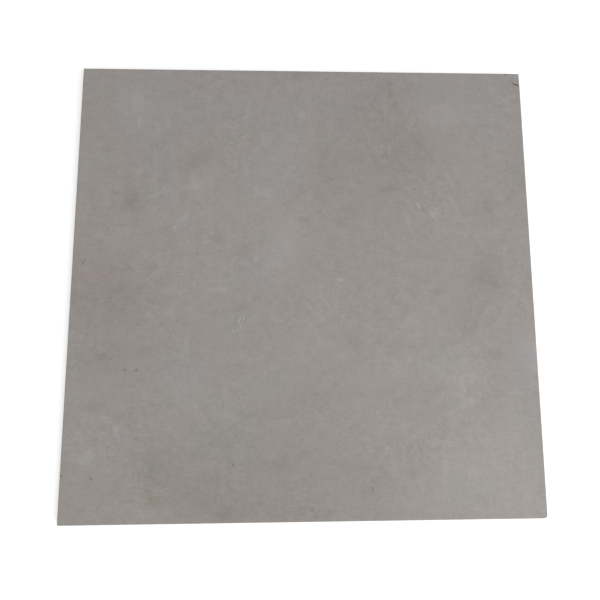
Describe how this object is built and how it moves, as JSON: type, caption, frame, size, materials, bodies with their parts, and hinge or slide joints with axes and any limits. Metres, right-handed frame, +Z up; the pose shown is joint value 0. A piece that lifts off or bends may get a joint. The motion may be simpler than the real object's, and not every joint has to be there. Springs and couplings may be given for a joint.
{
  "type": "floor tile",
  "caption": "Square matt porcelain floor tile with a cement-look face, eased edges, worn front corners, a cracked far corner and a ribbed back that keys the adhesive.",
  "frame": {"origin": "centre of the back, at the level of the ribs that the tile lies on", "axes": "+Z up out of the wearing face, +X to the right and +Y to the far side, along the tile's edges; the cracked corner is at +X +Y"},
  "size_m": [0.6, 0.6, 0.01],
  "materials": {
    "porcelain": "matte"
  },
  "bodies": {
    "root": {"tile": "porcelain"}
  },
  "joints": []
}
